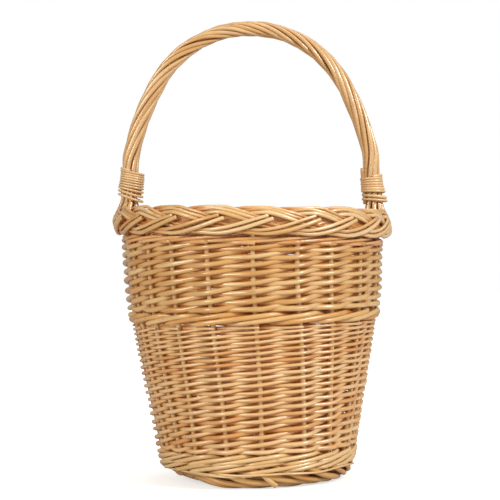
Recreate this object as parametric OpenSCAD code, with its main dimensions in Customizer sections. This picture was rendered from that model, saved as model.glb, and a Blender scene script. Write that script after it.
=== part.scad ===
// Round willow basket for collecting eggs: a slath base, upright stakes, five bands of weaving,
// a plaited border and a fixed roped bow handle. Millimetres, +Z up, the origin on the ground
// under the centre of the base, the handle in the XZ plane and the front towards -Y.

/* [Body] */
// Number of upright stakes, two for each base stick
stakes = 20; // [16:4:24]
// Least turn of the first stake away from the handle, in degrees
first_stake = 3.5; // [2.5:0.1:9]
// Height of the body from the ground to the top of the border
body_h = 269; // [224:0.1:325]
// Radius of the stake circle under the border
top_r = 122.8; // [102:0.1:148]
// How much the stake circle narrows from the border down to the middle wale
upper_taper = 6.3; // [0:0.1:9]
// How much the stake circle narrows from the middle wale down to the base
lower_taper = 26; // [20:0.5:32]
// Height of the middle wale above the ground
middle_z = 155.8; // [125:0.1:180]

/* [Rods] */
// Diameter of a stake
stake_d = 4.5; // [3.6:0.1:5.4]
// Diameter of the weaving rods above the middle wale
upper_rod_d = 4.5; // [3.6:0.1:5.4]
// Diameter of the weaving rods below the middle wale
lower_rod_d = 3.3; // [2.6:0.1:4]
// Diameter of the rods in the upsett and the middle wale
wale_rod_d = 4.8; // [4:0.1:5.8]
// Clearance between a rod and the weaving round it
rod_gap = 0.15; // [0.1:0.05:0.3]

/* [Weaving] */
// Height of the upsett wale, the rows that hold the stakes upright
upsett_h = 14; // [11:1:20]
// Height of the middle wale
middle_h = 14; // [11:1:17]
// Height of the two thin rows that close the wall under the border
top_wale_h = 8; // [6:1:10]

/* [Base] */
// Distance from the stake circle in to the edge of the woven base
base_inset = 10; // [8.5:0.5:16]
// Thickness of the woven base
base_h = 10; // [8.5:0.5:12]
// Diameter of a base stick
stick_d = 5; // [4.2:0.1:6]
// Clearance between base sticks that lie side by side
stick_gap = 0.6; // [0.4:0.1:1.5]
// Height of the foot border
foot_h = 9; // [7:0.5:11]
// Width of the foot border
foot_w = 22; // [19:1:26]

/* [Border] */
// Height of the plaited border
border_h = 30; // [25:1:37]
// Width of the plaited border, from the inside of the basket to the outside
border_w = 21.5; // [19:0.5:25]
// How far the border stands out from the stake circle
border_out = 5.8; // [4:0.1:7]

/* [Handle] */
// Height of the handle's top above the border
handle_rise = 188.3; // [150:0.1:230]
// How much less the radius of the handle's crown is than that of the stake circle under the border
crown_inset = 17.1; // [14:0.1:28]
// Turn of the crown on each side of the top, in degrees
crown_turn = 60; // [50:1:64]
// Diameter of the bow rod inside the handle
bow_d = 7.6; // [6.4:0.1:8]
// Number of rods twisted round the bow
rope_rods = 8; // [6:1:9]
// Diameter of a rod twisted round the bow
rope_d = 4.4; // [3.6:0.1:5.4]
// Length along the bow in which a rope rod goes once round it
rope_pitch = 200; // [180:5:300]
// Height of the bindings' lowest turn above the border
binding_lift = 9; // [4:0.5:16]
// Diameter of the thin rod bound round each end of the handle
binding_d = 2.3; // [1.8:0.1:2.6]
// Turns of the binding on the left end
left_turns = 11; // [7:1:12]
// Turns of the binding on the right end
right_turns = 9; // [7:1:12]

/* [Hidden] */
$fn = 72;
step = 360 / stakes;
sticks = stakes / 2;
group = sticks / 2; // sticks that lie side by side in each half of the slath

// Heights: the base lies on the foot border, and the bands of weaving stack up to the border.
base_z = foot_h + rod_gap;
stick_z = base_z + base_h / 2;
turn_r = 6; // radius of the turn from the base into the wall
middle_r = top_r - upper_taper;
foot_r = middle_r - lower_taper;
base_r = foot_r - base_inset;
stick_pitch = stick_d + stick_gap;
middle_knee_z = middle_z + middle_h / 2;
border_z = body_h - border_h;
top_wale_z = border_z - rod_gap - top_wale_h;
upsett_z = stick_z + turn_r;
stake_top_z = border_z + border_h * 0.4;
stake_aside = 7; // degrees from a base stick to the stake beside it
stake_in_r = max(foot_r - 40, (stake_d + stick_d + 4 * rod_gap) / 2 / sin(stake_aside)); // its inner end
row_gap = 0.1; // between two bands of weaving
leg_gap = 0.4; // clearance between the bow's legs and the weaving

// Lean of the wall from the vertical, below and above the middle wale.
lower_lean = atan((middle_r - foot_r) / (middle_knee_z - stick_z));
upper_lean = atan((top_r - middle_r) / (border_z - middle_knee_z));
knee_sag = (middle_h / 2 + 1) / 2 * abs(tan(lower_lean) - tan(upper_lean)); // bend in a straight channel
function wall_r(z) = z < middle_knee_z
    ? foot_r + tan(lower_lean) * (z - stick_z)
    : middle_r + tan(upper_lean) * (z - middle_knee_z);

// The slath: the sticks lie side by side over this half length, then open out like spokes.
slath_half = (group + 0.7) * stick_pitch / 2;
slath_core_d = stick_d * 0.64; // the pared middle of a stick that passes through the others
slath_eye_d = stick_d * 1.04; // the pierced middle of the other sticks
slath_open_r = slath_half + 2.5;
half_step = group % 2 == 0 ? step / 2 : 0; // an even group has no middle stick

// Centre line of the handle: a crown arc, a shoulder arc on each side, and a leg in the wall.
rope_slant = 0.97; // how much closer rods lie across the bow when they run round it
rope_r = max((bow_d + rope_d) / 2 + rod_gap, (rope_d + rod_gap) / 2 / sin(180 / rope_rods) / rope_slant);
handle_d = 2 * rope_r + rope_d;
crown_r = top_r - crown_inset;
apex_z = body_h + handle_rise - handle_d / 2;
leg_turn = 90 + upper_lean;
shoulder_z = apex_z - crown_r * (1 - cos(crown_turn));
shoulder_x = crown_r * sin(crown_turn);
shoulder_r = (wall_r(shoulder_z) - shoulder_x)
    / (sin(leg_turn) - sin(crown_turn) + tan(upper_lean) * (cos(crown_turn) - cos(leg_turn)));
leg_z = shoulder_z - shoulder_r * (cos(crown_turn) - cos(leg_turn));
leg_end_z = middle_z + middle_h + 4;
leg_len = (leg_z - leg_end_z) / cos(upper_lean);
first_turn = max(first_stake, asin(((bow_d + stake_d) / 2 + 4 * rod_gap) / wall_r(leg_end_z)));
function turn_at(z) = acos(cos(crown_turn) - (shoulder_z - z) / shoulder_r);
function bow_r(z) = z < leg_z
    ? wall_r(z)
    : shoulder_x + shoulder_r * (sin(turn_at(z)) - sin(crown_turn));

// Distance along the centre line from the top of the handle to a height on its shoulder.
crown_len = crown_r * crown_turn * PI / 180;
shoulder_end = crown_len + shoulder_r * (leg_turn - crown_turn) * PI / 180;
function length_to(z) = z < leg_z
    ? shoulder_end + (leg_z - z) / cos(upper_lean)
    : crown_len + shoulder_r * (turn_at(z) - crown_turn) * PI / 180;
rope_foot_z = body_h + 1;
rope_half = length_to(rope_foot_z);
rope_rings = 64;
leg_rings = 6;
binding_z = body_h + binding_lift;
binding_r = handle_d / 2 + binding_d / 2 + rod_gap;

// The centre line at a distance s from the top, negative to the left: its turn, its point, the
// way it runs, and the way to the outer side of the handle.
function turn_of(s) = abs(s) < crown_len
    ? abs(s) / crown_r * 180 / PI
    : min(leg_turn, crown_turn + (abs(s) - crown_len) / shoulder_r * 180 / PI);
function side_of(s) = s < 0 ? -1 : 1;
function along(s) = [cos(turn_of(s)), 0, -side_of(s) * sin(turn_of(s))];
function outward(s) = [side_of(s) * sin(turn_of(s)), 0, cos(turn_of(s))];
function centre(s) = let (t = turn_of(s), side = side_of(s))
    abs(s) < crown_len
    ? [side * crown_r * sin(t), 0, apex_z - crown_r * (1 - cos(t))]
    : [side * (shoulder_x + shoulder_r * (sin(t) - sin(crown_turn))), 0,
       shoulder_z - shoulder_r * (cos(crown_turn) - cos(t))]
      + max(0, abs(s) - shoulder_end) * side * along(s);

// The way from the centre line that an angle from its outer side towards the front points.
function spoke(s, angle) = cos(angle) * outward(s) - [0, sin(angle), 0];

// A ring of points round p, for a rod that runs along way, started on the side out.
function ring(p, way, out, d, sides) = let (across = cross(way / norm(way), out))
    [for (j = [0:sides - 1]) p + d / 2 * (cos(j * 360 / sides) * out + sin(j * 360 / sides) * across)];

// An oval outline of a given width and height, as one polygon.
function oval(w, h, n = 20) = [for (i = [0:n - 1]) [w / 2 * cos(i * 360 / n), h / 2 * sin(i * 360 / n)]];

// A rod with flat ends over a list of rings, each a list of the same number of points.
module skin(rings) {
    n = len(rings[0]);
    last = len(rings) - 1;
    sides = [for (i = [0:last - 1], j = [0:n - 1])
        let (a = i * n + j, b = i * n + (j + 1) % n)
        each [[a, b, b + n], [a, b + n, a + n]]];
    start = [for (j = [n - 1:-1:0]) j];
    end = [for (j = [0:n - 1]) last * n + j];
    polyhedron([for (r = rings) each r], concat([start], sides, [end]), convexity = 8);
}

// A round channel in the XZ plane, between two heights where the radii are r1 and r2.
module channel(r1, z1, r2, z2, d)
    translate([r1, 0, z1]) rotate([0, atan2(r2 - r1, z2 - z1), 0])
        cylinder(d = d, h = norm([r2 - r1, z2 - z1]));

// Repeats its children at each stake's place, with the stake in the XZ plane.
module at_stake(i) rotate([0, 0, first_turn + (i - 1) * step]) children();

// A stake: its end lies in the base, then it turns up, leans out and ends in the border.
module stake(i) color("burlywood") at_stake(i) {
    turn = 90 - lower_lean;
    bend_x = foot_r - turn_r * tan(turn / 2);
    lean = (lower_lean + upper_lean) / 2;
    // Each ring's place and the angle above the level in which the stake runs there.
    path = concat(
        [[stake_in_r, stick_z, 0]],
        [for (t = [0:0.2:1])
            [bend_x + turn_r * sin(t * turn), stick_z + turn_r * (1 - cos(t * turn)), t * turn]],
        [[middle_r, middle_knee_z, 90 - lean], [wall_r(stake_top_z), stake_top_z, 90 - upper_lean]]);
    skin([for (p = path)
        ring([p.x, 0, p.y], [cos(p.z), 0, sin(p.z)], [-sin(p.z), 0, cos(p.z)], stake_d, 10)]);
}

// The stakes' channels through a band of weaving between two heights.
module stake_channels(z1, z2, gap) for (i = [1:stakes]) at_stake(i)
    channel(wall_r(z1), z1, wall_r(z2), z2, stake_d + 2 * gap);

// How far the bow's curve strays from a straight channel between two heights.
function bow_sag(z1, z2) = let (curved = max(0, z2 - max(z1, leg_z)), share = curved / (z2 - z1))
    curved * curved / (2 * shoulder_r) * (1 - share + share * share / 4);

// The channels of the handle's two legs between two heights.
module leg_channels(z1, z2) for (side = [0, 1]) mirror([side, 0, 0])
    channel(bow_r(z1), z1, bow_r(z2), z2, bow_d + 2 * (leg_gap + bow_sag(z1, z2)));

// A round rod between two points in the plane of the base sticks.
module flat_rod(from, to, d) {
    way = to - from;
    translate([from.x, from.y, stick_z]) rotate([0, 0, atan2(way.y, way.x)]) rotate([0, 90, 0])
        cylinder(d = d, h = norm(way));
}

// One leg of a base stick, from the slath out to the edge of the base.
module stick_leg(place, d) {
    spoke = place * step;
    start = [slath_half, place * stick_pitch];
    flat_rod(start, (base_r - 1) * [cos(spoke), sin(spoke)], d);
}

// Turns the stick's legs so that each lies beside a stake.
module at_stick_group(i) rotate([0, 0, first_turn - stake_aside + (i > group ? 90 : 0) + half_step])
    children();
function stick_place(i) = (i - 1) % group - (group - 1) / 2;

module stick_legs(i, d) at_stick_group(i) {
    stick_leg(stick_place(i), d);
    rotate([0, 0, 180]) stick_leg(-stick_place(i), d);
}

// The middle of a base stick, where it crosses the others.
module stick_core(i, d) at_stick_group(i) translate([0, stick_place(i) * stick_pitch, 0])
    flat_rod([-slath_half - 1, 0], [slath_half + 1, 0], d);

// A base stick: half of them are pierced, and the pared middles of the others pass through.
module base_stick(i) color("tan") {
    pierced = i > group;
    stick_legs(i, stick_d);
    difference() {
        stick_core(i, pierced ? slath_eye_d : slath_core_d);
        if (pierced) for (j = [1:group]) stick_core(j, slath_core_d + 2 * rod_gap);
    }
}

// The woven base: a round plate with a channel for each stick and for each stake's end.
module base_weave() color("burlywood") difference() {
    translate([0, 0, base_z]) cylinder(r = base_r, h = base_h, $fn = 96);
    translate([0, 0, base_z - 1]) cylinder(r = slath_open_r, h = base_h + 2);
    for (i = [1:sticks]) {
        stick_legs(i, stick_d + 2 * rod_gap);
        stick_core(i, slath_eye_d + 2 * rod_gap);
    }
    for (i = [1:stakes]) at_stake(i) translate([stake_in_r - 1, 0, stick_z]) rotate([0, 90, 0])
        cylinder(d = stake_d + 2 * rod_gap, h = base_r);
}

// The foot border: a ring with a flat underside, rounded up towards its outer edge.
module foot_border() color("peru") {
    outer = foot_r + 3;
    rounding = foot_h - 1;
    rounded = [for (a = [0:15:90]) [outer - rounding * (1 - sin(a)), rounding * (1 - cos(a))]];
    rotate_extrude() polygon(concat(
        [[outer - foot_w + 2, 0]], rounded,
        [[outer, foot_h], [outer - foot_w, foot_h], [outer - foot_w, 2]]));
}

// A band of weaving between two heights, as thick as the stakes with a rod before and behind.
module band(z1, z2, rod_d, gap = rod_gap) {
    half = stake_d / 2 + rod_d;
    knee = middle_knee_z > z1 && middle_knee_z < z2 ? [middle_knee_z] : [];
    heights = concat([z1], knee, [z2]);
    rising = [for (z = heights) [wall_r(z) + half, z]];
    falling = [for (i = [len(heights) - 1:-1:0]) [wall_r(heights[i]) - half, heights[i]]];
    difference() {
        rotate_extrude($fn = 120) polygon(concat(rising, falling));
        stake_channels(z1 - 1, z2 + 1, gap);
        children();
    }
}

module upsett_wale() color("peru") band(upsett_z, upsett_z + upsett_h, wale_rod_d);

module lower_rand() color("wheat") band(upsett_z + upsett_h + row_gap, middle_z - row_gap, lower_rod_d);

module middle_wale() color("peru") band(middle_z, middle_z + middle_h, wale_rod_d, rod_gap + knee_sag);

module upper_rand() color("burlywood")
    band(middle_z + middle_h + row_gap, top_wale_z - row_gap, upper_rod_d)
        leg_channels(leg_end_z - leg_gap, top_wale_z + 1);

module top_wale() color("peru")
    band(top_wale_z, top_wale_z + top_wale_h, lower_rod_d)
        leg_channels(top_wale_z - 1, border_z + 1);

// The plaited border: one closed ring over the stakes' tops, with room for the bow's legs.
module border_plait() color("burlywood") difference() {
    rotate_extrude($fn = 120) translate([top_r + border_out, border_z + border_h / 2])
        polygon(oval(border_w, border_h));
    stake_channels(border_z - 1, stake_top_z + rod_gap, rod_gap);
    leg_channels(border_z - 1, body_h + 1);
}

// The bow: one stout rod bent over, with both legs pushed down into the wall.
module handle_bow() color("peru") {
    places = [for (i = [0:rope_rings]) rope_half * (2 * i / rope_rings - 1)];
    legs = [for (i = [1:leg_rings]) rope_half + (shoulder_end + leg_len - rope_half) * i / leg_rings];
    stations = concat([for (i = [leg_rings - 1:-1:0]) -legs[i]], places, legs);
    skin([for (s = stations) ring(centre(s), along(s), outward(s), bow_d, 12)]);
}

// A thin round rod that winds round the bow, from one place along it to another.
module wound(d, r, from, to, rings, first_angle, turns, sides)
    skin([for (i = [0:rings])
        let (s = from + (to - from) * i / rings,
             a = first_angle + turns * 360 * i / rings,
             way = (to - from) * along(s) + turns * 2 * PI * r * spoke(s, a + 90))
        ring(centre(s) + r * spoke(s, a), way, spoke(s, a), d, sides)]);

module rope_rod(i) color("burlywood")
    wound(rope_d, rope_r, -rope_half, rope_half, rope_rings, i * 360 / rope_rods,
          2 * rope_half / rope_pitch, 8);

// The binding: a thin rod wound round one end of the handle, turn on turn.
module binding(side, turns) {
    pitch = binding_d + 2 * rod_gap;
    from = length_to(binding_z);
    wound(binding_d, binding_r, side * from, side * (from - turns * pitch), turns * 16, 0, turns, 6);
}

module binding_left() color("wheat") binding(-1, left_turns);

module binding_right() color("wheat") binding(1, right_turns);

// The cut end of a rod, tucked on top of the binding against the inner side of the handle.
module rod_end(side, turns) {
    s = side * (length_to(binding_z) - turns * (binding_d + 2 * rod_gap) - binding_d);
    translate(centre(s) - (handle_d / 2 + rope_d * 0.3 + 2 * rod_gap) * outward(s))
        rotate([0, 90 + side * turn_of(s), 0]) translate([0, 0, -side * rope_d * 0.9])
        cylinder(d = rope_d * 0.6, h = rope_d * 1.8, center = true);
}

module rod_end_left() color("tan") rod_end(-1, left_turns);

module rod_end_right() color("tan") rod_end(1, right_turns);

for (i = [1:stakes]) stake(i);
for (i = [1:sticks]) base_stick(i);
base_weave();
foot_border();
upsett_wale();
lower_rand();
middle_wale();
upper_rand();
top_wale();
border_plait();
handle_bow();
for (i = [1:rope_rods]) rope_rod(i);
binding_left();
binding_right();
rod_end_left();
rod_end_right();
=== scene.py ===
import bpy
import math
import numpy as np
from mathutils import Matrix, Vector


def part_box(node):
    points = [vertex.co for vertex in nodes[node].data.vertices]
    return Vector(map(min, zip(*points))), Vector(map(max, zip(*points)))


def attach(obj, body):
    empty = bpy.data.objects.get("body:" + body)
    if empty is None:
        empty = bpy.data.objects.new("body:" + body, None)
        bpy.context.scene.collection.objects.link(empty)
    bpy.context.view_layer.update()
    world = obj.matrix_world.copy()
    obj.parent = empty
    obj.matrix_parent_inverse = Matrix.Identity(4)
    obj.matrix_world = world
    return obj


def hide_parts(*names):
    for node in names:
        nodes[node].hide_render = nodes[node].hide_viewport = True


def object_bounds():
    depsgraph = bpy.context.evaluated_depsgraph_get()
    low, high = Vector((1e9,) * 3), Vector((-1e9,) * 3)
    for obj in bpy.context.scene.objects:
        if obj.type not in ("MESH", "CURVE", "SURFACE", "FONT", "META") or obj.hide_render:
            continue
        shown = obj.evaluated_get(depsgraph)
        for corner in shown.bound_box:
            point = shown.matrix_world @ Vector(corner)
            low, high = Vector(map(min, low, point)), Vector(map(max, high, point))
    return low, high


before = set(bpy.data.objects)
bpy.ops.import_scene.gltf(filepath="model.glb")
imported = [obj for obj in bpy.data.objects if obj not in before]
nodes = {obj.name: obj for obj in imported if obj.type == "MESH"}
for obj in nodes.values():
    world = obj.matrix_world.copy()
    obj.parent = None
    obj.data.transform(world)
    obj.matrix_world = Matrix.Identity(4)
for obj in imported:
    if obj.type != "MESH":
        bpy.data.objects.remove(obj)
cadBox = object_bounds()
print("frame loaded,", len(nodes), "nodes")

mm = 0.001
dice = np.random.default_rng(11)


def boxOf(node):
    low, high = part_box(node)
    return np.array(low), np.array(high)


# The basket's body, read from the frame. Angles run from the front (-Y) towards +X, in degrees.
body = dict(stakeCount=20, firstStake=3.5, stakeWidth=4.5 * mm, baseInset=10 * mm, stickAside=7)
stakeStep = 360 / body["stakeCount"]
firstStick = body["firstStake"] - body["stickAside"]
# Half the thickness of each band of weaving: half a stake and one rod.
bandHalf = dict(lower=5.55 * mm, middle=7.05 * mm, upper=6.75 * mm)
rimTilt = 0.034
softKernel = np.hanning(9) / np.hanning(9).sum()
baseLow, baseHigh = boxOf("base_weave")
upsettLow, upsettHigh = boxOf("upsett_wale")
lowerLow, lowerHigh = boxOf("lower_rand")
middleLow, middleHigh = boxOf("middle_wale")
upperLow, upperHigh = boxOf("upper_rand")
topLow, topHigh = boxOf("top_wale")
rimLow, rimHigh = boxOf("border_plait")
stickZ = (baseLow[2] + baseHigh[2]) / 2
footRadius = baseHigh[0] + body["baseInset"]
# The stake circle's radius at four heights, from the outer radius of each band of weaving.
wallHeights = [stickZ, lowerHigh[2], middleHigh[2], upperHigh[2]]
wallRadii = [footRadius, lowerHigh[0] - bandHalf["lower"], middleHigh[0] - bandHalf["middle"],
             upperHigh[0] - bandHalf["upper"]]
upperSlope = (wallRadii[3] - wallRadii[2]) / (wallHeights[3] - wallHeights[2])


# The woven wall swells a little outside that even line, in mm.
swell = dict(height=[15, 39, 79, 95, 111, 127, 143, 160, 175, 191, 207, 223, 233, 246, 260],
             extra=[0.1, 0.8, 1.2, 1.9, 2.0, 2.3, 2.6, 2.2, 3.0, 3.5, 3.2, 2.6, 2.4, 0.9, 0.0])


def wallRadius(z):
    z = np.asarray(z, float)
    inside = np.interp(z, wallHeights, wallRadii)
    above = wallRadii[3] + (z - wallHeights[3]) * upperSlope
    extra = np.interp(z / mm, swell["height"], swell["extra"]) * mm
    return np.where(z > wallHeights[3], above, inside) + extra


# Stakes wander a little from their even places: degrees low, in the middle and high in the wall.
wanderHeights = [0.035, 0.085, 0.195]
stakeWander = {16: (2.6, 2.0, 0.4), 17: (-0.6, -1.8, -2.6), 18: (-5.6, -4.6, -5.4), 19: (-3.1, -3.2, -5.6),
               0: (-1.0, -1.2, -3.7), 1: (6.3, 3.5, -2.3), 2: (7.0, 2.6, -3.4), 3: (5.2, 3.0, -2.0),
               4: (2.0, 1.0, 0.2)}
for spare in range(5, 16):
    lean = dice.uniform(-1.6, 1.6)
    stakeWander[spare] = (lean, lean + dice.uniform(-0.8, 0.8), dice.uniform(-1.6, 1.6))
stakeWander[5] = (1.2, 0.6, 0.0)
stakeWander[15] = (-3.0, -3.4, -3.6)
stakeWander[14] = (-1.5, -1.6, -1.0)


def stakeAngle(k, z):
    turns, place = divmod(k, body["stakeCount"])
    even = body["firstStake"] + stakeStep * place + 360 * turns
    return even + np.interp(z, wanderHeights, stakeWander[place])


def angleAt(s, z):
    # The angle at a fractional stake number s, at height z; both are arrays.
    s = np.asarray(s, float)
    z = np.broadcast_to(np.asarray(z, float), s.shape)
    whole = np.floor(s).astype(int)
    out = np.empty_like(s)
    for k in np.unique(whole):
        here = whole == k
        a = stakeAngle(int(k), z[here])
        b = stakeAngle(int(k) + 1, z[here])
        out[here] = a + (b - a) * (s[here] - k)
    return out


def polar(angle, radius, z):
    a = np.radians(np.asarray(angle, float))
    radius = np.broadcast_to(radius, a.shape)
    z = np.broadcast_to(z, a.shape)
    return np.stack([radius * np.sin(a), -radius * np.cos(a), z], -1)


def smoothStep(x, low, high):
    t = np.clip((np.asarray(x, float) - low) / (high - low), 0, 1)
    return t * t * (3 - 2 * t)


def wobble(n, size, knots):
    # A slow, smooth random line of n values.
    marks = dice.normal(0, 1, knots + 4)
    x = np.linspace(1, knots + 1.999, n)
    i = np.floor(x).astype(int)
    t = x - i
    a, b, c, d = marks[i - 1], marks[i], marks[i + 1], marks[np.minimum(i + 2, knots + 3)]
    return size * 0.5 * ((2 * b) + (c - a) * t + (2 * a - 5 * b + 4 * c - d) * t ** 2
                         + (3 * b - a - 3 * c + d) * t ** 3)


def curveThrough(keys, count):
    # A smooth line through key points, evenly sampled in their numbers.
    p = np.asarray(keys, float)
    p = np.vstack([2 * p[0] - p[1], p, 2 * p[-1] - p[-2]])
    x = np.linspace(0, len(keys) - 1.0001, count)
    i = np.floor(x).astype(int) + 1
    t = (x - np.floor(x))[:, None]
    a, b, c, d = p[i - 1], p[i], p[i + 1], p[i + 2]
    return 0.5 * ((2 * b) + (c - a) * t + (2 * a - 5 * b + 4 * c - d) * t ** 2
                  + (3 * b - a - 3 * c + d) * t ** 3)


class Bundle:
    # Rods gathered into one mesh, each with its own tone, grain place and painted shade, darker where it
    # lies deep in the weaving.
    def __init__(self):
        self.points, self.quads, self.caps = [], [], []
        self.tones, self.grains, self.paintedShades = [], [], []
        self.count = 0

    def add(self, path, radius, sides=8, tone=None, up=None, paintedShade=0.0, crease=0.0):
        path = np.asarray(path, float)
        n = len(path)
        radius = np.broadcast_to(np.asarray(radius, float), (n,)).copy()
        paintedShade = np.broadcast_to(np.asarray(paintedShade, float), (n,)).copy()
        crease = np.broadcast_to(np.asarray(crease, float), (n,)).copy()
        run = np.gradient(path, axis=0)
        run /= np.maximum(np.linalg.norm(run, axis=1, keepdims=True), 1e-9)
        if up is None:
            ups = np.empty_like(path)
            start = np.array([0, 0, 1.0]) if abs(run[0, 2]) < 0.9 else np.array([1.0, 0, 0])
            ups[0] = start - run[0] * start.dot(run[0])
            ups[0] /= np.linalg.norm(ups[0])
            for i in range(1, n):
                v = ups[i - 1] - run[i] * ups[i - 1].dot(run[i])
                ups[i] = v / np.linalg.norm(v)
        else:
            ups = np.broadcast_to(np.asarray(up, float), path.shape)
            ups = ups - run * (ups * run).sum(1, keepdims=True)
            ups /= np.maximum(np.linalg.norm(ups, axis=1, keepdims=True), 1e-9)
        across = np.cross(run, ups)
        # Each end is cut off with a small bevel.
        bevel = 0.3 * radius[[0, -1]]
        path = np.vstack([path[:1] - run[:1] * bevel[0], path, path[-1:] + run[-1:] * bevel[1]])
        radius = np.concatenate([[radius[0] * 0.72], radius, [radius[-1] * 0.72]])
        paintedShade = np.concatenate([paintedShade[:1], paintedShade, paintedShade[-1:]])
        crease = np.concatenate([crease[:1], crease, crease[-1:]])
        ups = np.vstack([ups[:1], ups, ups[-1:]])
        across = np.vstack([across[:1], across, across[-1:]])
        n += 2
        turn = np.arange(sides) * 2 * math.pi / sides
        ring = (np.cos(turn)[None, :, None] * ups[:, None, :]
                + np.sin(turn)[None, :, None] * across[:, None, :])
        co = path[:, None, :] + ring * radius[:, None, None]
        steps = np.concatenate([[0], np.cumsum(np.linalg.norm(np.diff(path, axis=0), axis=1))])
        seed = dice.uniform(0, 40, 2)
        grain = np.stack(np.broadcast_arrays(
            steps[:, None] + seed[0], np.cos(turn)[None] * radius[:, None] + seed[1],
            np.sin(turn)[None] * radius[:, None]), -1)
        base = self.count + np.arange(n - 1)[:, None] * sides + np.arange(sides)[None]
        nextSide = self.count + np.arange(n - 1)[:, None] * sides + (np.arange(sides)[None] + 1) % sides
        quads = np.stack([base, base + sides, nextSide + sides, nextSide], -1).reshape(-1, 4)
        self.points.append(co.reshape(-1, 3))
        self.quads.append(quads)
        self.caps.append(self.count + np.arange(sides))
        self.caps.append(self.count + (n - 1) * sides + np.arange(sides)[::-1])
        tone = dice.uniform(0, 1) if tone is None else tone
        self.tones.append(np.full(n * sides, tone))
        self.grains.append(grain.reshape(-1, 3))
        # Painted shade on the flanks, where one rod meets the next: they lie deeper than the side turned
        # outwards and are darkened as if in shade.
        flankShade = smoothStep(-np.cos(turn), -0.5, 0.15)
        self.paintedShades.append(np.maximum(paintedShade[:, None], crease[:, None] * flankShade[None]).reshape(-1))
        self.count += n * sides

    def make(self, name, material, slotName, *stands):
        points = np.vstack(self.points)
        # The rim sits a touch lower on the right than on the left.
        sag = rimTilt * smoothStep(points[:, 2], 0.165, 0.24) * (1 - smoothStep(points[:, 2], 0.272, 0.33))
        points[:, 2] -= points[:, 0] * sag
        quads = np.vstack(self.quads)
        loops = np.concatenate([quads.reshape(-1)] + self.caps).astype(np.int32)
        sizes = np.concatenate([np.full(len(quads), 4), [len(c) for c in self.caps]]).astype(np.int32)
        starts = np.concatenate([[0], np.cumsum(sizes)[:-1]]).astype(np.int32)
        mesh = bpy.data.meshes.new(name)
        mesh.vertices.add(len(points))
        mesh.vertices.foreach_set("co", points.astype(np.float32).reshape(-1))
        mesh.loops.add(len(loops))
        mesh.loops.foreach_set("vertex_index", loops)
        mesh.polygons.add(len(sizes))
        mesh.polygons.foreach_set("loop_start", starts)
        mesh.polygons.foreach_set("loop_total", sizes)
        mesh.polygons.foreach_set("use_smooth", np.ones(len(sizes), bool))
        mesh.update(calc_edges=True)
        mesh.validate()
        tone = mesh.attributes.new("rodTone", "FLOAT", "POINT")
        tone.data.foreach_set("value", np.concatenate(self.tones).astype(np.float32))
        paintedShade = mesh.attributes.new("rodPaintedShade", "FLOAT", "POINT")
        paintedShade.data.foreach_set("value", np.concatenate(self.paintedShades).astype(np.float32))
        grain = mesh.attributes.new("rodGrain", "FLOAT_VECTOR", "POINT")
        grain.data.foreach_set("vector", np.vstack(self.grains).astype(np.float32).reshape(-1))
        piece = bpy.data.objects.new(name, mesh)
        bpy.context.scene.collection.objects.link(piece)
        mesh.materials.append(material)
        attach(piece, "root")
        if stands:
            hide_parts(*stands)
        print(name, "with", len(quads) * 2, "triangles")
        return piece


# Materials.
def newGroup(name, inputs, outputs):
    group = bpy.data.node_groups.new(name, "ShaderNodeTree")
    for label, kind, value in inputs:
        socket = group.interface.new_socket(name=label, in_out="INPUT", socket_type=kind)
        if value is not None:
            socket.default_value = value
    for label, kind in outputs:
        group.interface.new_socket(name=label, in_out="OUTPUT", socket_type=kind)
    return group, group.nodes.new("NodeGroupInput"), group.nodes.new("NodeGroupOutput")


def addNode(tree, kind, **settings):
    node = tree.nodes.new(kind)
    for key, value in settings.items():
        setattr(node, key, value)
    return node


def mathNode(tree, operation, a, b=None, clamp=False):
    node = addNode(tree, "ShaderNodeMath", operation=operation, use_clamp=clamp)
    for socket, value in ((node.inputs[0], a), (node.inputs[1], b)):
        if value is None:
            continue
        if isinstance(value, (int, float)):
            socket.default_value = value
        else:
            tree.links.new(value, socket)
    return node.outputs[0]


def mixColour(tree, share, a, b, blend="MIX"):
    node = addNode(tree, "ShaderNodeMix", data_type="RGBA", blend_type=blend)
    for socket, value in ((node.inputs[0], share), (node.inputs[6], a), (node.inputs[7], b)):
        if isinstance(value, (int, float)):
            socket.default_value = value
        elif isinstance(value, tuple):
            socket.default_value = (*value, 1)
        else:
            tree.links.new(value, socket)
    return node.outputs[2]


def stretched(tree, vector, along, around):
    node = addNode(tree, "ShaderNodeVectorMath", operation="MULTIPLY")
    tree.links.new(vector, node.inputs[0])
    node.inputs[1].default_value = (along, around, around)
    return node.outputs[0]


def rangeNode(tree, value, low, high, toLow, toHigh):
    node = addNode(tree, "ShaderNodeMapRange", clamp=True)
    tree.links.new(value, node.inputs[0])
    for i, v in enumerate((low, high, toLow, toHigh)):
        node.inputs[i + 1].default_value = v
    return node.outputs[0]


# Peeled willow: long fine grain, slow blotches, small knots and a tone for each rod, with painted shade
# mixed in where a rod lies deep or in a crease.
skin, skinIn, skinOut = newGroup(
    "willowSkin",
    [("Grain", "NodeSocketVector", None), ("Tone", "NodeSocketFloat", 0.5),
     ("Depth", "NodeSocketFloat", 0.0),
     ("Pale", "NodeSocketColor", (0.78, 0.54, 0.28, 1)),
     ("Honey", "NodeSocketColor", (0.66, 0.38, 0.15, 1)),
     ("Amber", "NodeSocketColor", (0.55, 0.25, 0.07, 1)),
     ("Shade", "NodeSocketColor", (0.95, 0.62, 0.33, 1)),
     ("Streaks", "NodeSocketFloat", 0.35), ("Knots", "NodeSocketFloat", 1.0)],
    [("Color", "NodeSocketColor"), ("Roughness", "NodeSocketFloat"), ("Height", "NodeSocketFloat")])


def skinNoise(along, around, detail, rough=0.55):
    noise = addNode(skin, "ShaderNodeTexNoise")
    skin.links.new(stretched(skin, skinIn.outputs["Grain"], along, around), noise.inputs["Vector"])
    noise.inputs["Scale"].default_value = 1
    noise.inputs["Detail"].default_value = detail
    noise.inputs["Roughness"].default_value = rough
    return noise.outputs[0]


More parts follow.
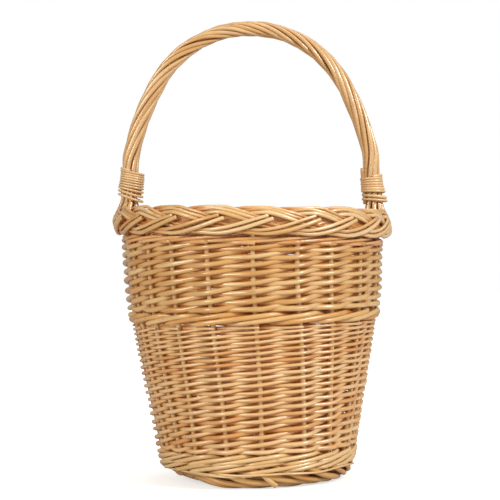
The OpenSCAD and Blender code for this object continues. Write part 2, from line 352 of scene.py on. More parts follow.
fineGrain = skinNoise(24, 620, 3)
slowBlotch = skinNoise(22, 60, 2)
midBlotch = skinNoise(60, 220, 2)
knotSeed = skinNoise(55, 170, 1)
toneMoved = mathNode(skin, "ADD", skinIn.outputs["Tone"],
                     mathNode(skin, "MULTIPLY", mathNode(skin, "SUBTRACT", slowBlotch, 0.5), 1.1), True)
honeyToPale = mixColour(skin, rangeNode(skin, toneMoved, 0.35, 1.0, 0, 1), skinIn.outputs["Honey"],
                        skinIn.outputs["Pale"])
amberToRest = mixColour(skin, rangeNode(skin, toneMoved, 0.0, 0.35, 0, 1), skinIn.outputs["Amber"],
                        honeyToPale)
streakMask = mathNode(skin, "MULTIPLY", rangeNode(skin, fineGrain, 0.4, 0.66, 0, 1),
                      skinIn.outputs["Streaks"])
streaked = mixColour(skin, streakMask, amberToRest,
                     mixColour(skin, 1.0, amberToRest, (0.74, 0.62, 0.5), "MULTIPLY"))
patched = mixColour(skin, rangeNode(skin, midBlotch, 0.55, 0.8, 0, 0.45), streaked,
                    mixColour(skin, 1.0, streaked, (0.86, 0.72, 0.56), "MULTIPLY"))
knotMask = mathNode(skin, "MULTIPLY", rangeNode(skin, knotSeed, 0.70, 0.76, 0, 1), skinIn.outputs["Knots"])
knotted = mixColour(skin, knotMask, patched, (0.22, 0.09, 0.03))
# Painted shade: the colour is multiplied by the shade colour as far as the rod's painted-shade amount goes.
shaded = mixColour(skin, skinIn.outputs["Depth"], knotted,
                   mixColour(skin, 1.0, knotted, skinIn.outputs["Shade"], "MULTIPLY"))
skin.links.new(shaded, skinOut.inputs["Color"])
skin.links.new(mathNode(skin, "ADD", rangeNode(skin, midBlotch, 0.3, 0.7, 0.3, 0.42),
                        mathNode(skin, "MULTIPLY", streakMask, 0.12)), skinOut.inputs["Roughness"])
skin.links.new(mathNode(skin, "ADD", mathNode(skin, "MULTIPLY", fineGrain, 0.9),
                        mathNode(skin, "ADD", mathNode(skin, "MULTIPLY", midBlotch, 0.6),
                                 mathNode(skin, "MULTIPLY", knotMask, 0.8))), skinOut.inputs["Height"])


def willow(name, pale, honey, amber, shade=(0.95, 0.62, 0.33), streaks=0.42, knots=0.35, coat=0.5):
    material = bpy.data.materials.new(name)
    material.use_nodes = True
    tree = material.node_tree
    tree.nodes.clear()
    out = addNode(tree, "ShaderNodeOutputMaterial")
    shader = addNode(tree, "ShaderNodeBsdfPrincipled")
    place = addNode(tree, "ShaderNodeGroup", node_tree=skin)
    for attribute, socket, output in (("rodGrain", "Grain", "Vector"), ("rodTone", "Tone", "Fac"),
                                      ("rodPaintedShade", "Depth", "Fac")):
        reader = addNode(tree, "ShaderNodeAttribute", attribute_name=attribute)
        tree.links.new(reader.outputs[output], place.inputs[socket])
    place.inputs["Pale"].default_value = (*pale, 1)
    place.inputs["Honey"].default_value = (*honey, 1)
    place.inputs["Amber"].default_value = (*amber, 1)
    place.inputs["Shade"].default_value = (*shade, 1)
    place.inputs["Streaks"].default_value = streaks
    place.inputs["Knots"].default_value = knots
    bump = addNode(tree, "ShaderNodeBump")
    bump.inputs["Strength"].default_value = 0.14
    bump.inputs["Distance"].default_value = 0.0003
    tree.links.new(place.outputs["Height"], bump.inputs["Height"])
    tree.links.new(place.outputs["Color"], shader.inputs["Base Color"])
    tree.links.new(place.outputs["Roughness"], shader.inputs["Roughness"])
    tree.links.new(bump.outputs[0], shader.inputs["Normal"])
    shader.inputs["Coat Weight"].default_value = coat
    shader.inputs["Coat Roughness"].default_value = 0.2
    shader.inputs["Coat IOR"].default_value = 1.6
    tree.links.new(shader.outputs[0], out.inputs["Surface"])
    return material


sidingWillow = willow("sidingWillow", (0.80, 0.55, 0.26), (0.69, 0.39, 0.13), (0.60, 0.28, 0.07), coat=1.0)
fineWillow = willow("fineWillow", (0.88, 0.63, 0.34), (0.80, 0.48, 0.20), (0.73, 0.36, 0.115), coat=0.9)
waleWillow = willow("waleWillow", (0.86, 0.61, 0.31), (0.78, 0.46, 0.16), (0.70, 0.34, 0.09),
                    shade=(0.7, 0.40, 0.18), coat=0.8)
stakeWillow = willow("stakeWillow", (0.84, 0.60, 0.31), (0.77, 0.47, 0.19), (0.68, 0.35, 0.10))
borderWillow = willow("borderWillow", (0.85, 0.615, 0.33), (0.74, 0.45, 0.17), (0.66, 0.32, 0.085),
                      shade=(0.85, 0.52, 0.26), coat=0.9)
footWillow = willow("footWillow", (0.84, 0.56, 0.25), (0.76, 0.43, 0.14), (0.68, 0.32, 0.08),
                    shade=(0.5, 0.27, 0.11))
handleWillow = willow("handleWillow", (0.79, 0.55, 0.29), (0.68, 0.40, 0.155), (0.58, 0.29, 0.085),
                      shade=(0.62, 0.34, 0.14), knots=0.4, coat=1.0)
bindingWillow = willow("bindingWillow", (0.84, 0.63, 0.37), (0.77, 0.50, 0.235), (0.69, 0.38, 0.14),
                       knots=0.2)
baseWillow = willow("baseWillow", (0.80, 0.54, 0.26), (0.72, 0.42, 0.16), (0.64, 0.31, 0.09))
print("materials made")


# Randed weaving: a rod starts at every stake and goes in front of one and behind the next.
# It runs level up to a stake that it passes in front of, and climbs beyond it.
def climb(m):
    return m - 0.25 * np.sin(math.pi * (m + 0.6))


def randedBand(bundle, low, high, firstRod, lastRod, fatness, hidden, samples, sides, shake, toneSpread):
    # The rods thin from firstRod to lastRod as they climb from low to high.
    room = high - low - (firstRod + lastRod) / 2
    strokes = room / ((firstRod + lastRod) / 2)
    count = int(strokes * samples)
    for r in range(body["stakeCount"]):
        m = np.linspace(-1.5, strokes + 0.8, count)
        lift = climb(m + wobble(count, 0.04, int(strokes)))
        inner = np.clip(lift, 0, strokes)
        z = low + firstRod / 2 + firstRod * inner - (firstRod - lastRod) * inner ** 2 / (2 * strokes)
        z = z + wobble(count, shake, int(strokes * 1.5)) * smoothStep(m, 0.5, 3)
        z = np.clip(z, low + firstRod * 0.3, high - lastRod * 0.3)
        width = firstRod + (lastRod - firstRod) * np.clip(m / strokes, 0, 1)
        fuller = fatness * (1 + dice.uniform(-0.07, 0.07))
        radius = width / 2 * fuller * (1 + wobble(count, 0.03, int(strokes * 2)))
        weave = np.arcsin(0.95 * np.cos(np.pi * m)) / math.asin(0.95)
        reach = body["stakeWidth"] / 2 + radius * 0.82
        angle = angleAt(r + m, z)
        # The lengths behind the stakes are fuller, and in the back wall the crossings too.
        facing = 0.5 * smoothStep(np.cos(np.radians(angle)), -0.2, 0.3)
        radius = radius * (1 + hidden * smoothStep(-weave - facing, -0.6, 0.05))
        around = wallRadius(z) + reach * weave + wobble(count, 0.15 * mm, int(strokes * 2))
        path = polar(angle, around, z)
        up = polar(angle, np.ones(count), np.zeros(count))
        tone = np.clip(0.5 + dice.normal(0, toneSpread), 0, 1)
        # Painted shade: the lengths behind the stakes are darkened, the top rows under the border too as if
        # in its shadow, and each rod's flanks a little.
        underRimShadow = 0.4 * smoothStep(z, rimLow[2] - 15 * mm, rimLow[2] - 3 * mm)
        paintedShade = np.maximum(0.8 * smoothStep(-weave, -0.05, 0.8), underRimShadow)
        bundle.add(path, radius, sides, tone, up, paintedShade, crease=0.3)


upperBand = dict(firstRod=4.45 * mm, lastRod=3.75 * mm, fatness=1.17, hidden=0.34, samples=12, sides=10,
                 shake=0.3 * mm, toneSpread=0.24)
upper = Bundle()
randedBand(upper, upperLow[2], rimLow[2] - 2.5 * mm, **upperBand)
upper.make("upper_randing", sidingWillow, "weave", "upper_rand")

lowerBand = dict(firstRod=4.0 * mm, lastRod=2.35 * mm, fatness=1.13, hidden=0.3, samples=11, sides=8,
                 shake=0.28 * mm, toneSpread=0.2)
lower = Bundle()
randedBand(lower, lowerLow[2], lowerHigh[2], **lowerBand)
lower.make("lower_randing", fineWillow, "weave", "lower_rand")


# Waling: three rods, each in front of two stakes and behind the third, rising over its stroke.
def waleBand(bundle, low, high, rod, rounds, start, sides, toneSpread, shade=0.0, samples=12):
    # Each further round lies less than two rods higher.
    lift = 1.85 * rod
    rise = (high - low - rod - lift * (rounds - 1)) / 2
    centre = low + rod / 2 + rise
    stakes = body["stakeCount"]
    for w in range(3):
        count = int(stakes * rounds * samples)
        s = start + w + np.linspace(-1.2, stakes * rounds + 1.8, count)
        phase = np.mod(s - start - w, 3)
        level = np.interp(phase, [0, 0.5, 2.5, 3], [0, -1, 1, 0])
        level = np.convolve(np.concatenate([level[-6:], level, level[:6]]), softKernel, "same")[6:-6]
        rounded = np.clip((s - start - w) / stakes - 0.5, 0, rounds - 1)
        z = centre + rise * level + lift * rounded + wobble(count, 0.35 * mm, int(stakes * rounds / 2))
        front = np.tanh(2.2 * (0.5 - np.cos(2 * np.pi * phase / 3))) / math.tanh(1.6)
        radius = rod / 2 * (1 + wobble(count, 0.06, int(stakes * rounds / 2)))
        radius = radius * (1 + 0.25 * smoothStep(-front, -0.3, 0.6))
        around = wallRadius(z) + (body["stakeWidth"] / 2 + rod / 2) * np.clip(front, -1, 1)
        angle = angleAt(s, z)
        tone = np.clip(0.5 + dice.normal(0, toneSpread), 0, 1)
        up = polar(angle, np.ones(count), np.zeros(count))
        # Painted shade on the lengths behind the stakes and on each rod's flanks, and over the whole rod as
        # far as shade asks.
        paintedShade = np.maximum(shade, 0.6 * smoothStep(-front, -0.35, 0.75))
        bundle.add(polar(angle, around, z), radius, sides, tone, up, paintedShade, crease=0.4)


middle = Bundle()
waleBand(middle, middleLow[2], middleHigh[2], 4.75 * mm, 1, 11, 10, 0.25)
middle.make("middle_waling", waleWillow, "wale", "middle_wale")

top = Bundle()
# The top wale is darkened all over by painted shade, as if in the border's shadow.
waleBand(top, topLow[2] + 1 * mm, topHigh[2] + 2.5 * mm, 3.2 * mm, 1, 9, 8, 0.2, 0.45)
top.make("top_waling", fineWillow, "wale", "top_wale")


def tucked(angle, height):
    # On the left the bottom edge is drawn in and stands a little off the floor.
    tuck = smoothStep(-np.sin(np.radians(angle)), 0.35, 0.9) * smoothStep(-height, -19 * mm, -8 * mm)
    return 1 - 0.10 * tuck, 4.5 * mm * tuck


upsett = Bundle()
waleBand(upsett, upsettHigh[2] - 20.5 * mm, upsettHigh[2] + 0.8 * mm, 4.15 * mm, 2, 8, 10, 0.3)
# Thin rods slipped in under the wale.
for k in range(9):
    spanStart = dice.uniform(0, 20)
    s = np.linspace(spanStart, spanStart + dice.uniform(3.5, 6.5), 90)
    z = upsettLow[2] + dice.uniform(-8, -4) * mm + wobble(90, 0.9 * mm, 5)
    z = z + (s - s[0]) * dice.uniform(-0.7, 0.7) * mm
    hidden = smoothStep(s, s[-1] - 0.6, s[-1]) + smoothStep(-s, -s[0] - 0.6, -s[0])
    around = wallRadius(z) + (body["stakeWidth"] / 2 + 4.6 * mm) * (1 - hidden)
    drawnIn, raised = tucked(angleAt(s, z), z)
    upsett.add(polar(angleAt(s, z), around * drawnIn, z + raised), np.linspace(1.25, 0.8, 90) * mm, 7,
               dice.uniform(0.7, 1))
# A pair of rods closes the corner between the base and the wall, with a little painted shade as if in that
# corner.
for w in range(2):
    s = np.linspace(-0.3, 20.3, 620)
    z = stickZ + 3.8 * mm * np.cos(math.pi * (s + w)) + wobble(620, 0.3 * mm, 20)
    upsett.add(polar(angleAt(s, z), baseHigh[0] + 2.6 * mm, z), 2.6 * mm, 8, 0.4, paintedShade=0.3)
upsett.make("upsett_waling", waleWillow, "wale", "upsett_wale")


# Foot border: a rod from each stake sweeps down and along the bottom edge, over the next ones.
foot = Bundle()
footSweep = dict(turn=[-0.7, -0.3, 0.1, 0.5, 1.0, 1.5, 2.0, 2.5, 3.0, 3.8, 4.6],
                 radius=[91.5, 93.0, 92.5, 90.5, 87.5, 84.5, 81.0, 78.0, 76.5, 76.0, 75.0],
                 height=[23.0, 16.5, 11.5, 8.2, 5.8, 4.2, 3.2, 3.6, 5.5, 8.5, 11.5], rod=5.6 * mm)
for k in range(body["stakeCount"]):
    q = np.linspace(-0.7, 4.6, 70)
    shift = dice.normal(0, 0.1)
    radial = np.interp(q, footSweep["turn"], footSweep["radius"]) * mm
    height = np.interp(q, footSweep["turn"], footSweep["height"]) * mm
    radial = np.convolve(np.pad(radial, 4, "edge"), softKernel, "valid")
    height = np.convolve(np.pad(height, 4, "edge"), softKernel, "valid")
    rod = footSweep["rod"] * dice.uniform(0.9, 1.12)
    height = np.maximum(height + wobble(70, 0.35 * mm, 4), rod / 2)
    angle = body["firstStake"] + stakeStep * (k + q + shift)
    drawnIn, raised = tucked(angle, height)
    radial, height = radial * drawnIn, height + raised
    width = rod / 2 * np.interp(q, [-0.7, 0, 2.4, 4.6], [0.9, 1.0, 0.95, 0.75])
    # Painted shade darkens each rod's flanks where it meets the next.
    foot.add(polar(angle, radial, height), width, 10, np.clip(0.4 + dice.normal(0, 0.2), 0, 1),
             polar(angle, np.ones(70), np.full(70, -0.2)), crease=0.9)
# One pale cut end is left standing out at the front.
cut = curveThrough([polar(2.0, 92.5 * mm, 15 * mm), polar(4.5, 93.4 * mm, 11.5 * mm),
                    polar(8.0, 92.0 * mm, 6.8 * mm), polar(10.5, 89.5 * mm, 3.6 * mm)], 24)
foot.add(cut, np.linspace(2.1, 2.9, 24) * mm, 12, 0.95)
foot.make("foot_border_rods", footWillow, "foot", "foot_border")


# Stakes: the end lies beside a base stick, then the rod turns up, leans out and bends into the border.
stakes = Bundle()
stakePlan = dict(tip=0.050, besideStick=5.2 * mm, straightTo=0.0572)
half = body["stakeWidth"] / 2
rimTop = rimHigh[2]
for k in range(body["stakeCount"]):
    lowAngle = stakeAngle(k, stickZ)
    stick = firstStick + stakeStep * k
    turnAside = math.degrees(stakePlan["besideStick"] / stakePlan["tip"])
    beside = stick + np.sign(stakeAngle(k, 0.03) - stick) * turnAside
    keys = [polar(beside, stakePlan["tip"], stickZ)]
    for share in (0.4, 0.8, 1.0):
        reach = stakePlan["tip"] + (footRadius - stakePlan["straightTo"]) * share
        keys.append(polar(beside + (lowAngle - beside) * share, reach, stickZ))
    keys.append(polar(lowAngle, footRadius - 2.2 * mm, stickZ + 1.2 * mm))
    for z in (stickZ + 5.5 * mm, 0.030, 0.060, 0.1, 0.14, 0.165, 0.19, 0.215, 0.235, rimTop - 22 * mm):
        keys.append(polar(stakeAngle(k, z), float(wallRadius(z)), z))
    high = stakeAngle(k, rimTop)
    keys.append(polar(high + 1.0, float(wallRadius(rimTop)) + 0.6 * mm, rimTop - 14 * mm))
    keys.append(polar(high + 3.5, float(wallRadius(rimTop)) + 3.0 * mm, rimTop - 9 * mm))
    path = curveThrough(keys, 150)
    stakes.add(path, half * np.linspace(1.22, 1.08, 150) * (1 + wobble(150, 0.03, 12)), 9,
               np.clip(0.75 + dice.normal(0, 0.12), 0, 1))
stakes.make("stakes", stakeWillow, "stakes", *["stake_%d" % (i + 1) for i in range(20)])


# Plaited border. Each stake sends three rods over the rim. They pass down under the next two
# rising pairs; two of them run on along the bottom and rise as a pair, and the third stops.
plait = Bundle()
rimShape = dict(height=[-3.0, 1.0, 3.2, 7.0, 12.2, 18.0, 24.0, 28.0, 31.0],
                radius=[130.5, 134.0, 136.6, 138.9, 139.5, 138.8, 137.2, 135.0, 131.0])
rimFloor = rimLow[2]


def rimOuter(z):
    return np.interp((z - rimFloor) / mm, rimShape["height"], rimShape["radius"]) * mm


# Along the rod in stake steps from its top: height over the border's foot and how deep it lies, in mm.
plaitRods = [
    dict(at=[-1.75, -1.6, -1.3, -1.0, -0.82, -0.6, -0.3, 0.0, 0.145, 0.355, 0.57, 0.775, 0.95],
         up=[-8, 2, 15, 23.5, 26.4, 27.6, 28.2, 28.2, 27.2, 24.7, 22.0, 19.1, 17.0],
         deep=[16, 16.5, 14.5, 10.5, 8.2, 6.0, 3.6, 2.6, 2.4, 3.0, 4.4, 5.6, 6.4], width=(3.5, 3.2)),
    dict(at=[-1.6, -1.45, -1.15, -0.85, -0.6, -0.35, -0.145, 0.145, 0.4, 0.655, 0.925, 1.135, 1.4, 1.68,
             1.83, 2.14, 2.43, 2.7, 2.93],
         up=[-8, 2, 14, 21.5, 24.6, 26.2, 26.4, 24.0, 20.8, 17.4, 13.4, 10.8, 8.2, 7.0,
             7.2, 9.6, 13.4, 17.2, 20.2],
         deep=[16, 16.5, 14, 10, 7.4, 4.6, 3.2, 2.4, 3.0, 5.0, 6.8, 7.0, 6.6, 4.0, 2.6, 1.6, 1.3, 1.2, 1.5],
         width=(3.9, 3.5)),
    dict(at=[-1.45, -1.3, -1.0, -0.7, -0.45, -0.22, -0.03, 0.23, 0.515, 0.825, 1.035, 1.33, 1.71, 1.94,
             2.14, 2.37, 2.6, 2.85, 3.03],
         up=[-8, 2, 13, 18.5, 21.4, 22.4, 22.4, 19.6, 15.6, 10.8, 8.4, 5.2, 3.4, 3.4,
             5.0, 7.7, 11.0, 15.0, 17.9],
         deep=[15, 15.5, 13.5, 9.5, 6.2, 3.6, 2.4, 2.6, 4.6, 6.8, 7.2, 6.0, 3.6, 2.4,
               1.9, 1.6, 1.4, 1.3, 1.6],
         width=(4.3, 4.5)),
]
# The groups' tops are not quite evenly spaced: seen ones first, the rest share what is left.
groupPlaces = [-50.5, -31.9, -11.9, 7.4, 27.0, 45.3, 62.9, 80.0]
groupPlaces += list(np.linspace(80.0, 309.5, 14)[1:-1])
groupPlaces = np.array([g for turn in (-360, 0, 360) for g in np.array(groupPlaces) + turn])


def groupAngle(q):
    return np.interp(q, np.arange(len(groupPlaces)) - 20, groupPlaces)


for k in range(body["stakeCount"]):
    groupTone = dice.normal(0.55, 0.12)
    for rod in plaitRods:
        at = np.array(rod["at"])
        keys = np.stack([at, rod["up"], rod["deep"]], -1)
        line = curveThrough(keys, 110)
        q, up, deep = line.T
        up = up + wobble(110, 0.35, 5)
        deep = deep + wobble(110, 0.25, 5)
        z = rimFloor + up * mm
        width = np.linspace(rod["width"][0], rod["width"][1], 110) / 2 * mm * dice.uniform(0.84, 0.97)
        around = rimOuter(z) - deep * mm - 0.6 * mm
        inside = np.interp(q, [-1.7, -0.9], [1, 0])
        around = around * (1 - inside) + (float(wallRadius(rimFloor)) - 1.2 * mm) * inside
        angle = groupAngle(k + q)
        outwards = polar(angle, np.ones(110), 0.6 * smoothStep(up, 20, 28))
        # Painted shade darkens the lengths that lie deep in the border and each rod's flanks.
        plait.add(polar(angle, around, z), width, 10, np.clip(groupTone + dice.normal(0, 0.16), 0, 1),
                  outwards, 0.8 * smoothStep(deep, 3.2, 6.5), 0.7)
# The rods' first lengths cross behind, inside the rim, darkened with painted shade.
innerRod = dict(at=[-1.4, -0.7, 0.0, 0.8, 1.6, 2.3], up=[0.5, 8.0, 14.5, 19.5, 22.5, 23.5],
                deep=[13.0, 10.4, 9.4, 9.4, 10.5, 13.0], width=4.2)
for k in range(3 * body["stakeCount"]):
    line = curveThrough(np.stack([innerRod["at"], innerRod["up"], innerRod["deep"]], -1), 60)
    q, up, deep = line.T
    z = rimFloor + (up + wobble(60, 0.4, 4)) * mm
    plait.add(polar(groupAngle(k / 3 + q), rimOuter(z) - deep * mm, z), innerRod["width"] / 2 * mm, 8,
              np.clip(0.4 + dice.normal(0, 0.15), 0, 1), paintedShade=0.5)
plait.make("plaited_border", borderWillow, "border", "border_plait")


# The handle's centre line, from its apex along the crown, a shoulder and a leg in the wall.
bow = dict(crownRadius=105.7 * mm, crownTurn=60.0, thickness=16.7 * mm, core=7.6 * mm, legEnd=174 * mm,
           drawnIn=2.4 * mm)
apexZ = cadBox[1][2] - bow["thickness"] / 2
legTurn = 90 + math.degrees(math.atan(upperSlope))
shoulderZ = apexZ - bow["crownRadius"] * (1 - math.cos(math.radians(bow["crownTurn"])))
shoulderX = bow["crownRadius"] * math.sin(math.radians(bow["crownTurn"]))
sinLeg, cosLeg = math.sin(math.radians(legTurn)), math.cos(math.radians(legTurn))
sinCrown, cosCrown = math.sin(math.radians(bow["crownTurn"])), math.cos(math.radians(bow["crownTurn"]))
shoulderRadius = ((float(wallRadius(shoulderZ)) - shoulderX)
                  / (sinLeg - sinCrown + upperSlope * (cosCrown - cosLeg)))
legZ = shoulderZ - shoulderRadius * (cosCrown - cosLeg)
crownLength = bow["crownRadius"] * math.radians(bow["crownTurn"])
shoulderEnd = crownLength + shoulderRadius * math.radians(legTurn - bow["crownTurn"])


def bowPoint(s):
    # Centre, direction and outer side of the handle at distances s from its apex.
    s = np.asarray(s, float)
    side = np.where(s < 0, -1.0, 1.0)
    far = np.abs(s)
    turn = np.where(far < crownLength, far / bow["crownRadius"],
                    np.minimum(math.radians(legTurn),
                               math.radians(bow["crownTurn"]) + (far - crownLength) / shoulderRadius))
    x = np.where(far < crownLength, bow["crownRadius"] * np.sin(turn),
                 shoulderX + shoulderRadius * (np.sin(turn) - sinCrown))
    z = np.where(far < crownLength, apexZ - bow["crownRadius"] * (1 - np.cos(turn)),
                 shoulderZ - shoulderRadius * (cosCrown - np.cos(turn)))
    extra = np.maximum(0, far - shoulderEnd)
    x = x + extra * math.cos(math.radians(legTurn))
    z = z - extra * math.sin(math.radians(legTurn))
    # Where it is bound, each leg is drawn in a little.
    x = x - bow["drawnIn"] * smoothStep(z, 0.255, 0.275) * (1 - smoothStep(z, 0.300, 0.325))
    centre = np.stack([side * x, np.zeros_like(x), z], -1)
    run = np.stack([np.cos(turn), np.zeros_like(x), -side * np.sin(turn)], -1)
    out = np.stack([side * np.sin(turn), np.zeros_like(x), np.cos(turn)], -1)
    return centre, run, out


def lengthTo(z):
    if z < legZ:
        return shoulderEnd + (legZ - z) / math.sin(math.radians(legTurn))
    turn = math.acos(cosCrown - (shoulderZ - z) / shoulderRadius)
    return crownLength + shoulderRadius * (turn - math.radians(bow["crownTurn"]))


core = Bundle()
half = lengthTo(bow["legEnd"])
s = np.linspace(-half, half, 260)
# The core inside the rope gets a little painted shade.
core.add(bowPoint(s)[0], bow["core"] / 2, 12, 0.35, paintedShade=0.3)
core.make("handle_bow_rod", handleWillow, "bow", "handle_bow")

# Eight rods twist round the bow, faster at the crown than on the legs.
rope = dict(rods=8, legRod=4.75 * mm, crownRod=4.0 * mm,
            places=[-0.30, -0.16, -0.07, -0.01, 0.05, 0.12, 0.2, 0.3],
            turnsPerMetre=[3.2, 4.6, 7.2, 9.2, 7.0, 4.6, 3.6, 1.6])
ropeFoot = lengthTo(rimHigh[2] - 12 * mm)
ropeMark = lengthTo(rimHigh[2] + 10 * mm)
frontWay = np.array([0, -1.0, 0])
for i in range(rope["rods"]):
    strand = Bundle()
    count = 520
    s = np.linspace(-ropeFoot, ropeFoot, count)
    turning = np.interp(s, rope["places"], rope["turnsPerMetre"])
    twist = np.concatenate([[0], np.cumsum((turning[1:] + turning[:-1]) / 2 * np.diff(s))]) * 2 * math.pi
    rodWidth = rope["crownRod"] + (rope["legRod"] - rope["crownRod"]) * smoothStep(np.abs(s), 0.01, 0.15)
    rodWidth = rodWidth * dice.uniform(0.94, 1.06)
    reach = rodWidth / (2 * math.sin(math.pi / rope["rods"]))
    reach = reach * (1.06 - 0.06 * smoothStep(np.abs(s), 0.04, 0.14))
    reach = reach + wobble(count, 0.22 * mm, 10)
    # Below the bindings the rods open out to go down round the border.
    spread = smoothStep(np.abs(s), ropeMark, ropeFoot)
    reach = reach + spread * 4.6 * mm
    angle = twist + i * 2 * math.pi / rope["rods"] + wobble(count, 0.07, 9)
    centre, run, out = bowPoint(s)
    spoke = np.cos(angle)[:, None] * out + np.sin(angle)[:, None] * frontWay
    # Painted shade darkens each strand's flanks, most at the crown.
    strand.add(centre + spoke * reach[:, None], rodWidth / 2, 16, np.clip(0.5 + dice.normal(0, 0.2), 0, 1),
               spoke, crease=0.95 - 0.35 * smoothStep(np.abs(s), 0.06, 0.16))
    strand.make("rope_strand_%d" % (i + 1), handleWillow, "rope", "rope_rod_%d" % (i + 1))


# Bindings: a thin rod wound round each end of the handle and over a cut rod end at its inner side.
# Levels are heights over the rim's top and tilts the slant of each turn, both in mm.
bindings = [
    dict(side=-1, name="left_binding_turns", node="binding_left", rod=2.55 * mm, outer=9.0 * mm,
         inner=12.9 * mm,
         levels=[8, 12.4, 16.8, 20.2, 23.1, 25.9, 28.6, 31.2, 33.8, 36.3, 38.7],
         tilts=[4.7, 4.4, 3.4, 2.4, 2.1, 2.0, 1.9, 1.8, 1.8, 1.7, 1.7],
         flare=[1.2, 1.2, 1.1, 0.8, 0.4, 0, 0, 0, 0, 0, 0]),
    dict(side=1, name="right_binding_turns", node="binding_right", rod=2.5 * mm, outer=9.4 * mm,
         inner=11.0 * mm,
         levels=[8.8, 11.5, 17.2, 19.5, 21.8, 24.1, 26.4, 28.7, 31.0],
         tilts=[0.3, 0.2, 0.2, 0.1, 0, 0, 0, 0, 0],
         flare=[3.0, 2.6, 1.4, 0.8, 0.4, 0, 0, 0, 0]),
]
for wrap in bindings:
    turns = len(wrap["levels"]) - 1
    count = turns * 40 + 20
    t = np.linspace(-0.25, turns + 0.25, count)
    level = np.interp(t, np.arange(turns + 1), wrap["levels"]) * mm
    tilt = np.interp(t, np.arange(turns + 1), wrap["tilts"]) * mm
    angle = t * 2 * math.pi
    s = np.array([wrap["side"] * lengthTo(rimHigh[2] + h) for h in level])
    centre, run, out = bowPoint(s)
    inward = 0.5 - 0.5 * np.cos(angle)
    flare = (1 - inward) * np.interp(t, np.arange(turns + 1), wrap["flare"]) * mm
    width = flare + wrap["outer"] + (wrap["inner"] - wrap["outer"]) * inward ** 2
    width = width + wobble(count, 0.14 * mm, turns * 2)
    spoke = np.cos(angle)[:, None] * out + np.sin(angle)[:, None] * frontWay
    path = centre + spoke * width[:, None]
    # Each turn's right side lies lower than its left.
    path[:, 2] -= tilt * np.cos(angle) * wrap["side"]
    wound = Bundle()
    # Painted shade darkens each turn's flanks.
    wound.add(path, wrap["rod"] / 2 * (1 + wobble(count, 0.04, turns * 2)), 12, 0.6, spoke, crease=0.4)
    wound.make(wrap["name"], bindingWillow, "binding", wrap["node"])

# The cut ends held under the bindings: heights over the rim's top, and how far in from the centre line.
cutEnds = [
    dict(side=-1, name="left_cut_end", node="rod_end_left", low=12 * mm, high=36.5 * mm, inset=9.9 * mm,
         rod=4.6 * mm),
    dict(side=1, name="right_cut_end", node="rod_end_right", low=6 * mm, high=39.5 * mm, inset=9.0 * mm,
         rod=4.2 * mm),
]
for cutEnd in cutEnds:
    heights = np.linspace(cutEnd["low"], cutEnd["high"], 14)
    s = np.array([cutEnd["side"] * lengthTo(rimHigh[2] + h) for h in heights])
    centre, run, out = bowPoint(s)
    stub = Bundle()
    stub.add(centre - out * cutEnd["inset"] + np.array([0, -1.5 * mm, 0]), cutEnd["rod"] / 2, 12, 0.2)
    stub.make(cutEnd["name"], handleWillow, "rope", cutEnd["node"])


# Base: two sets of sticks crossed through each other, opened out like spokes and woven round.
slath = dict(stickWidth=5 * mm, pitch=5.6 * mm, half=15.9 * mm, group=5)
sticks = Bundle()
stickNodes = []
for n in range(body["stakeCount"] // 2):
    across = n >= slath["group"]
    place = n % slath["group"] - (slath["group"] - 1) / 2
    facing = math.radians(firstStick) + (math.pi / 2 if across else 0)
    opened = math.radians(abs(place) * stakeStep)
    keys = []
    for end in (-1, 1):
        tip = np.array([end * (baseHigh[0] - 2 * mm) * math.cos(opened),
                        np.sign(place) * (baseHigh[0] - 2 * mm) * math.sin(opened)])
        knee = np.array([end * slath["half"], place * slath["pitch"]])
        inner = np.array([end * slath["half"] * 0.6, place * slath["pitch"]])
        part = [tip, knee + (tip - knee) * 0.5, knee, inner]
        keys = keys + part if end < 0 else keys + part[::-1]
    flatKeys = np.array(keys)
    turned = np.stack([flatKeys[:, 0] * math.cos(facing) - flatKeys[:, 1] * math.sin(facing),
                       flatKeys[:, 0] * math.sin(facing) + flatKeys[:, 1] * math.cos(facing)], -1)
    path = curveThrough(np.column_stack([turned, np.full(len(turned), stickZ)]), 70)
    reach = np.linalg.norm(path[:, :2], axis=1)
    middleShare = 1 - smoothStep(reach, 12 * mm, 22 * mm)
    width = slath["stickWidth"] / 2 * (1 + (0.06 if across else -0.3) * middleShare)
    sticks.add(path, width, 10, np.clip(0.5 + dice.normal(0, 0.15), 0, 1), (0, 0, 1))
    stickNodes.append("base_stick_%d" % (n + 1))
sticks.make("base_sticks", baseWillow, "base", *stickNodes)

weaving = Bundle()
pairRod = dict(start=19.0 * mm, rod=2.75 * mm, samplesPerTurn=200)
for w in range(2):
    rounds = (baseHigh[0] - 1.6 * mm - pairRod["start"]) / (2 * pairRod["rod"] * 0.93)
    count = int(rounds * pairRod["samplesPerTurn"])
    turn = np.linspace(0, rounds * 360, count)
    radial = pairRod["start"] + (w * pairRod["rod"] + turn / 360 * 2 * pairRod["rod"]) * 0.93
    phase = (turn - firstStick) / stakeStep
    lift = np.cos(np.pi * (phase + w)) * np.interp(radial, [0.019, 0.03, 0.08], [3.0, 3.4, 3.7]) * mm
    # The angle here runs from +X, as the sticks' does.
    a = np.radians(turn)
    path = np.stack([radial * np.cos(a), radial * np.sin(a), stickZ + lift], -1)
    for piece in range(5):
        part = slice(int(count * piece / 5), int(count * (piece + 1) / 5) + 6)
        weaving.add(path[part], pairRod["rod"] / 2 * (1 + wobble(len(path[part]), 0.04, 12)), 7,
                    np.clip(0.5 + dice.normal(0, 0.2), 0, 1), (0, 0, 1))
weaving.make("base_weaving", baseWillow, "base", "base_weave")
print("basket built")


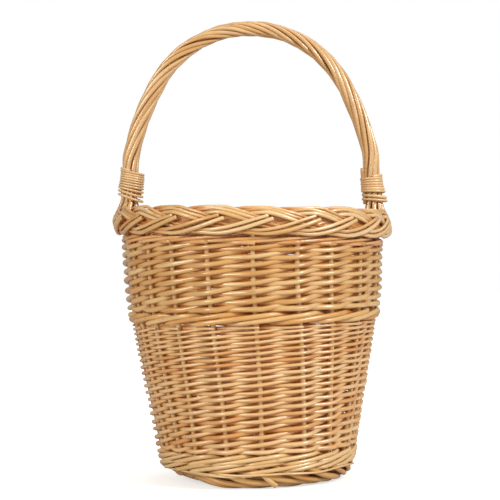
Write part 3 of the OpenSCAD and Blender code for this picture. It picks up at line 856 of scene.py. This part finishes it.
# Studio: a pale floor, a white backdrop, soft lamps and a camera that is level but for a slight roll.
def makeFloor():
    mesh = bpy.data.meshes.new("floor")
    far = 6.0
    mesh.from_pydata([(-far, -far, 0), (far, -far, 0), (far, far, 0), (-far, far, 0)], [], [(0, 1, 2, 3)])
    floor = bpy.data.objects.new("floor", mesh)
    bpy.context.scene.collection.objects.link(floor)
    material = bpy.data.materials.new("paleFloor")
    material.use_nodes = True
    tree = material.node_tree
    tree.nodes.clear()
    out = addNode(tree, "ShaderNodeOutputMaterial")
    shader = addNode(tree, "ShaderNodeBsdfPrincipled")
    shader.inputs["Base Color"].default_value = (0.62, 0.60, 0.56, 1)
    shader.inputs["Roughness"].default_value = 0.9
    path = addNode(tree, "ShaderNodeLightPath")
    seen = mathNode(tree, "MAXIMUM", path.outputs["Is Camera Ray"], path.outputs["Is Transmission Ray"])
    # Away from the basket the floor fades into the white backdrop.
    place = addNode(tree, "ShaderNodeNewGeometry")
    reach = addNode(tree, "ShaderNodeVectorMath", operation="LENGTH")
    tree.links.new(place.outputs["Position"], reach.inputs[0])
    fade = rangeNode(tree, reach.outputs["Value"], 0.10, 0.20, 0, 1)
    shader.inputs["Emission Color"].default_value = (1, 1, 1, 1)
    glow = mathNode(tree, "ADD", 0.66, mathNode(tree, "MULTIPLY", fade, 0.42))
    tree.links.new(mathNode(tree, "MULTIPLY", seen, glow), shader.inputs["Emission Strength"])
    tree.links.new(shader.outputs[0], out.inputs["Surface"])
    mesh.materials.append(material)


makeFloor()

world = bpy.data.worlds.new("studio")
bpy.context.scene.world = world
world.use_nodes = True
tree = world.node_tree
tree.nodes.clear()
worldOut = addNode(tree, "ShaderNodeOutputWorld")
background = addNode(tree, "ShaderNodeBackground")
path = addNode(tree, "ShaderNodeLightPath")
seen = mathNode(tree, "MAXIMUM", path.outputs["Is Camera Ray"], path.outputs["Is Transmission Ray"])
tree.links.new(mixColour(tree, seen, (1, 0.95, 0.87), (1, 1, 1)), background.inputs["Color"])
tree.links.new(mathNode(tree, "ADD", 0.33, mathNode(tree, "MULTIPLY", seen, 0.67)),
               background.inputs["Strength"])
tree.links.new(background.outputs[0], worldOut.inputs["Surface"])


def softLamp(name, spot, aim, size, power, tint=(1, 1, 1)):
    data = bpy.data.lights.new(name, "AREA")
    data.shape = "RECTANGLE"
    data.size, data.size_y = size
    data.energy = power
    data.color = tint
    lamp = bpy.data.objects.new(name, data)
    bpy.context.scene.collection.objects.link(lamp)
    away = np.array(spot) - np.array(aim)
    away /= np.linalg.norm(away)
    right = np.cross([0, 0, 1], away)
    right /= np.linalg.norm(right)
    upward = np.cross(away, right)
    lamp.matrix_world = Matrix([[right[i], upward[i], away[i], spot[i]] for i in range(3)] + [[0, 0, 0, 1]])


softLamp("keyRight", (1.25, -1.05, 1.1), (0, 0, 0.2), (0.45, 0.35), 22)
softLamp("fillLeft", (-1.2, -1.2, 0.8), (0, 0, 0.2), (0.6, 0.5), 15, (1, 0.93, 0.82))
softLamp("topSoft", (0.5, -0.1, 1.8), (0, 0, 0.2), (0.8, 0.8), 6)

cameraPlan = dict(distance=1.7, height=0.2273, aside=-0.0028, roll=-1.3, lens=122.4)
cameraData = bpy.data.cameras.new("camera")
cameraData.lens = cameraPlan["lens"]
cameraData.sensor_width = 36
camera = bpy.data.objects.new("camera", cameraData)
bpy.context.scene.collection.objects.link(camera)
cameraSpot = (cameraPlan["aside"], -cameraPlan["distance"], cameraPlan["height"])
camera.matrix_world = (Matrix.Translation(cameraSpot)
                       @ Matrix.Rotation(math.radians(90), 4, "X")
                       @ Matrix.Rotation(math.radians(cameraPlan["roll"]), 4, "Z"))
bpy.context.scene.camera = camera
bpy.context.scene.view_settings.view_transform = "Standard"
print("studio ready")
